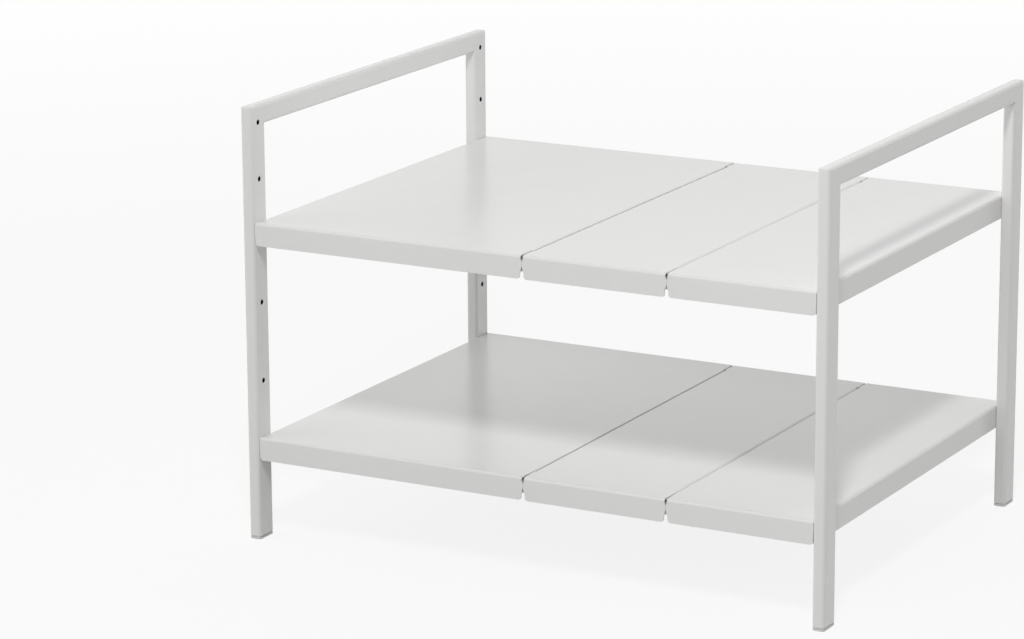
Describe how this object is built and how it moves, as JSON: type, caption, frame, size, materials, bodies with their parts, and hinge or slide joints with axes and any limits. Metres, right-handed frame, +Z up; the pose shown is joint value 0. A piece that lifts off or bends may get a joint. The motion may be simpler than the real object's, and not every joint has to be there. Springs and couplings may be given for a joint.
{
  "type": "expandable counter shelf",
  "caption": "Expandable tiered counter shelf: rectangular tube side frames carry folded sheet boards on telescoping rails that slide apart to widen it.",
  "frame": {"origin": "centre of the closed shelf's footprint, on the counter the feet stand on", "axes": "+X from the left frame to the right frame, +Y from the front to the back, +Z up"},
  "size_m": [0.5, 0.375, 0.35],
  "materials": {
    "powder_coat": "satin off-white powder coat",
    "foot_plastic": "moulded light grey plastic",
    "nylon": "natural white nylon",
    "zinc_steel": "zinc-plated steel"
  },
  "bodies": {
    "right": {"leg_right_front": "powder_coat", "leg_right_back": "powder_coat", "top_rail_right": "powder_coat", "foot_right_front": "foot_plastic", "foot_right_back": "foot_plastic", "frame_screws_right": "zinc_steel", "board_right_upper": "powder_coat", "board_right_lower": "powder_coat", "board_inner_upper": "powder_coat", "board_inner_lower": "powder_coat", "rail_upper_front": "zinc_steel", "rail_upper_back": "zinc_steel", "rail_lower_front": "zinc_steel", "rail_lower_back": "zinc_steel", "rail_caps": "nylon", "stop_screws": "zinc_steel"},
    "left": {"leg_left_front": "powder_coat", "leg_left_back": "powder_coat", "top_rail_left": "powder_coat", "foot_left_front": "foot_plastic", "foot_left_back": "foot_plastic", "frame_screws_left": "zinc_steel", "board_wide_upper": "powder_coat", "board_wide_lower": "powder_coat", "guide_upper_front": "zinc_steel", "guide_upper_back": "zinc_steel", "guide_lower_front": "zinc_steel", "guide_lower_back": "zinc_steel", "guide_caps": "nylon"},
    "upper_mid": {"board_mid_upper": "powder_coat"},
    "lower_mid": {"board_mid_lower": "powder_coat"}
  },
  "joints": [
    {"name": "extend", "type": "slide", "parent": "right", "child": "left", "axis": [-1, 0, 0], "range_m": [0, 0.23]},
    {"name": "upper_mid_lift", "type": "slide", "parent": "right", "child": "upper_mid", "axis": [0, 0, 1], "range_m": [0, 0.06]},
    {"name": "lower_mid_lift", "type": "slide", "parent": "right", "child": "lower_mid", "axis": [0, 0, 1], "range_m": [0, 0.06]}
  ]
}
